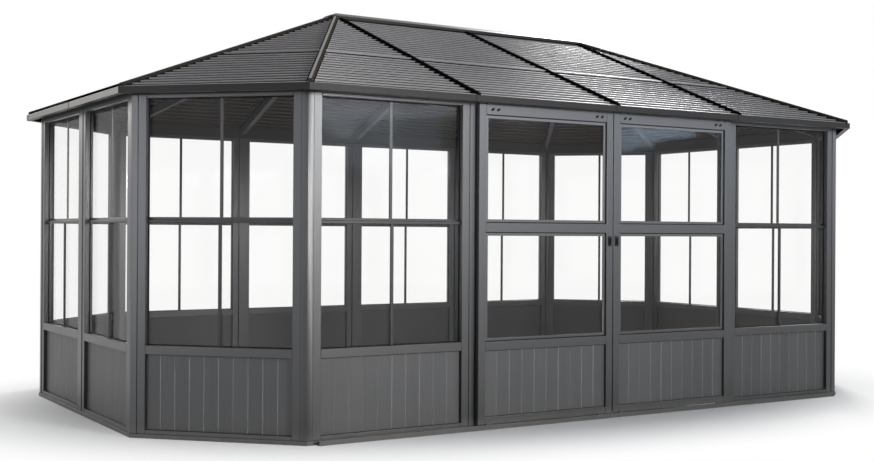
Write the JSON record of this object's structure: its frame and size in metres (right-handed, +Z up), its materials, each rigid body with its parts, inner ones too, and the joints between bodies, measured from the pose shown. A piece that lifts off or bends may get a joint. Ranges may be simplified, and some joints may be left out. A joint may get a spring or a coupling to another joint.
{
  "type": "glazed metal gazebo",
  "caption": "Glazed metal garden room on a long octagon, with a stepped metal hip roof, smoked windows over board panels, and a pair of sliding doors on the front.",
  "frame": {"origin": "on the ground in the middle of the plan", "axes": "+Z up, +X along the front to the right as seen from outside, the front with the doors faces -Y"},
  "size_m": [6.264, 3.904, 2.887],
  "materials": {
    "charcoal_frame": "satin powder coat",
    "roof_sheet": "textured coating",
    "roof_trim": "satin coating",
    "smoked_glass": "smoked, clear",
    "board_panel": "satin coating",
    "black_latch": "satin",
    "door_runner": "satin"
  },
  "bodies": {
    "root": {"base_rails": "charcoal_frame", "eave_beams": "charcoal_frame", "corner_posts": "charcoal_frame", "wall_posts": "charcoal_frame", "door_jambs": "charcoal_frame", "door_track": "charcoal_frame", "door_head_track": "charcoal_frame", "hip_rafters": "charcoal_frame", "rib_rafters": "charcoal_frame", "crown_hubs": "charcoal_frame", "ridge_beam": "charcoal_frame", "rib_covers": "roof_trim", "hip_covers": "roof_trim", "ridge_cap": "roof_trim", "eave_fascia": "roof_trim", "front_frames": "charcoal_frame", "front_glass": "smoked_glass", "front_boards": "board_panel", "roof_front_lower": "roof_sheet", "roof_front_upper": "roof_sheet", "back_frames": "charcoal_frame", "back_glass": "smoked_glass", "back_boards": "board_panel", "roof_back_lower": "roof_sheet", "roof_back_upper": "roof_sheet", "end_frames": "charcoal_frame", "end_glass": "smoked_glass", "end_boards": "board_panel", "roof_end_lower": "roof_sheet", "roof_end_upper": "roof_sheet", "corner_frames": "charcoal_frame", "corner_glass": "smoked_glass", "corner_boards": "board_panel", "roof_corner_lower": "roof_sheet", "roof_corner_upper": "roof_sheet"},
    "left_door": {"left_door_frame": "charcoal_frame", "left_door_glass": "smoked_glass", "left_door_board": "board_panel", "left_door_latch": "black_latch", "left_door_runners": "door_runner"},
    "right_door": {"right_door_frame": "charcoal_frame", "right_door_glass": "smoked_glass", "right_door_board": "board_panel", "right_door_latch": "black_latch", "right_door_runners": "door_runner"}
  },
  "joints": [
    {"name": "left_door_slide", "type": "slide", "parent": "root", "child": "left_door", "axis": [-1, 0, 0], "range_m": [0, 1.06]},
    {"name": "right_door_slide", "type": "slide", "parent": "root", "child": "right_door", "axis": [1, 0, 0], "range_m": [0, 1.06]}
  ]
}
